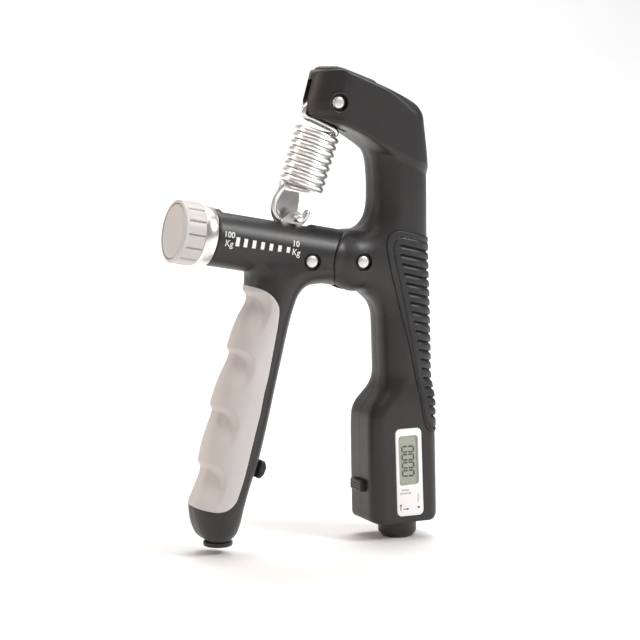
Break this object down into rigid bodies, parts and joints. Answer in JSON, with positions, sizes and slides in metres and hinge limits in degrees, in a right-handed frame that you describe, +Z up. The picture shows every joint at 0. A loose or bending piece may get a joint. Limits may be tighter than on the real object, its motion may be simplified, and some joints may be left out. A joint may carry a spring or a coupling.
{
  "type": "hand dynamometer",
  "caption": "Spring hand gripper: a frame handle with a squeeze counter, a finger-grooved grip handle on a pivot, and a dial that moves the spring's anchor along a force scale.",
  "frame": {"origin": "bottom centre of the bounding box: the reset button's underside is at z = 0", "axes": "+Z up the palm handle, +X from the dial towards the palm side, +Y away from the display, across the thickness"},
  "size_m": [0.0949, 0.0218, 0.1606],
  "materials": {
    "case_plastic": "fine matt moulded charcoal plastic",
    "palm_rubber": "matt black elastomer with ribs",
    "soft_grip": "soft warm grey elastomer",
    "knob_plastic": "light grey satin plastic",
    "bright_steel": "bright plated steel",
    "plain_steel": "plain steel",
    "brass": "machined brass",
    "label_white": "white printed face",
    "lcd_grey": "grey-green display",
    "clear_window": "clear window",
    "board_green": "circuit board"
  },
  "bodies": {
    "frame": {"frame_shell_front": "case_plastic", "frame_shell_back": "case_plastic", "palm_grip": "palm_rubber", "head_cap": "case_plastic", "spring_pin": "bright_steel", "pivot_pin": "bright_steel", "pivot_washer_front": "plain_steel", "pivot_washer_back": "plain_steel", "frame_screw_1": "plain_steel", "frame_screw_2": "plain_steel", "frame_screw_3": "plain_steel", "counter_faceplate": "label_white", "lcd_lens": "clear_window", "lcd_panel": "lcd_grey", "counter_board": "board_green", "count_switch": "case_plastic", "battery": "plain_steel", "battery_clip": "plain_steel", "battery_cover": "case_plastic"},
    "grip": {"grip_shell_front": "case_plastic", "grip_shell_back": "case_plastic", "finger_grip": "soft_grip", "hinge_tongue": "plain_steel", "tongue_pin": "bright_steel", "striker_pad": "palm_rubber", "grip_foot": "palm_rubber", "grip_screw_1": "plain_steel", "grip_screw_2": "plain_steel", "barrel_collar": "bright_steel", "screw_bush": "brass"},
    "dial": {"dial_knob": "knob_plastic", "dial_cap": "knob_plastic", "lead_screw": "plain_steel"},
    "carriage": {"carriage_nut": "brass", "carriage_cheek_front": "plain_steel", "carriage_cheek_back": "plain_steel", "carriage_pin": "bright_steel"},
    "plunger": {"count_plunger": "case_plastic"},
    "button": {"reset_button": "case_plastic"},
    "spring_top": {"spring_upper": "bright_steel"},
    "spring_mid": {"spring_middle": "bright_steel"},
    "spring_low": {"spring_lower": "bright_steel"}
  },
  "joints": [
    {"name": "squeeze", "type": "hinge", "parent": "frame", "child": "grip", "pos_m": [0.0181, 0, 0.0959], "axis": [0, -1, 0], "range_deg": [0, 26], "stiffness_Nm_per_rad": 9, "springref_deg": -12.61},
    {"name": "dial_turn", "type": "hinge", "parent": "grip", "child": "dial", "pos_m": [-0.0283, 0, 0.1045], "axis": [-0.9833, 0, 0.1822], "range_deg": [-2880, 0]},
    {"name": "carriage_slide", "type": "slide", "parent": "grip", "child": "carriage", "axis": [0.9833, 0, -0.1822], "range_m": [-0.018, 0]},
    {"name": "spring_swing", "type": "hinge", "parent": "frame", "child": "spring_top", "pos_m": [0.009, 0, 0.1487], "axis": [0, 1, 0], "range_deg": [0, 22.89]},
    {"name": "spring_take_up", "type": "slide", "parent": "spring_top", "child": "spring_mid", "axis": [-0.3162, 0, -0.9487], "range_m": [0, 0.00611], "deforming": ["spring_upper"]},
    {"name": "spring_stretch", "type": "slide", "parent": "spring_mid", "child": "spring_low", "axis": [-0.3162, 0, -0.9487], "range_m": [0, 0.01187], "deforming": ["spring_middle", "spring_lower"]},
    {"name": "count_press", "type": "slide", "parent": "frame", "child": "plunger", "axis": [1, 0, 0], "range_m": [0, 0.0012], "stiffness_N_per_m": 250, "springref_m": -0.001},
    {"name": "reset_press", "type": "slide", "parent": "frame", "child": "button", "axis": [0, 0, 1], "range_m": [0, 0.0012], "stiffness_N_per_m": 2500, "springref_m": -0.0015}
  ],
  "couplings": [
    {"joint": "dial_turn", "follows": "carriage_slide", "rad_per_m": 2792.5},
    {"joint": "spring_swing", "follows": "carriage_slide", "rad_per_m": -22.145},
    {"joint": "spring_take_up", "follows": "carriage_slide", "ratio": -0.3381},
    {"joint": "spring_stretch", "follows": "squeeze", "m_per_rad": 0.026122}
  ]
}
